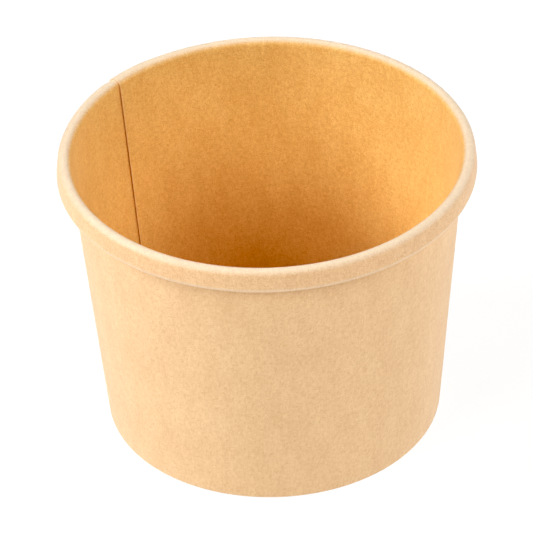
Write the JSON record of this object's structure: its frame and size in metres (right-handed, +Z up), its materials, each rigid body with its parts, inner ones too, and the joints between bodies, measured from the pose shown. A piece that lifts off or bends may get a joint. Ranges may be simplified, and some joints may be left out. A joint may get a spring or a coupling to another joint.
{
  "type": "paper ice cream tub",
  "caption": "Round tapered kraft-board tub with a rolled rim, a lapped side seam and a recessed bottom disc, for ice cream and other cold or hot food",
  "frame": {"origin": "centre of the foot, on the surface that the tub stands on", "axes": "+Z up along the tub's axis, towards its open rim; the seam lies at 138.8 degrees from +X towards +Y"},
  "size_m": [0.098, 0.098, 0.072],
  "materials": {
    "wall_board": "kraft board, uncoated outside, glossy coating inside",
    "bottom_board": "kraft board with a glossy coating inside"
  },
  "bodies": {
    "root": {"side_wall": "wall_board", "bottom_disc": "bottom_board"}
  },
  "joints": []
}
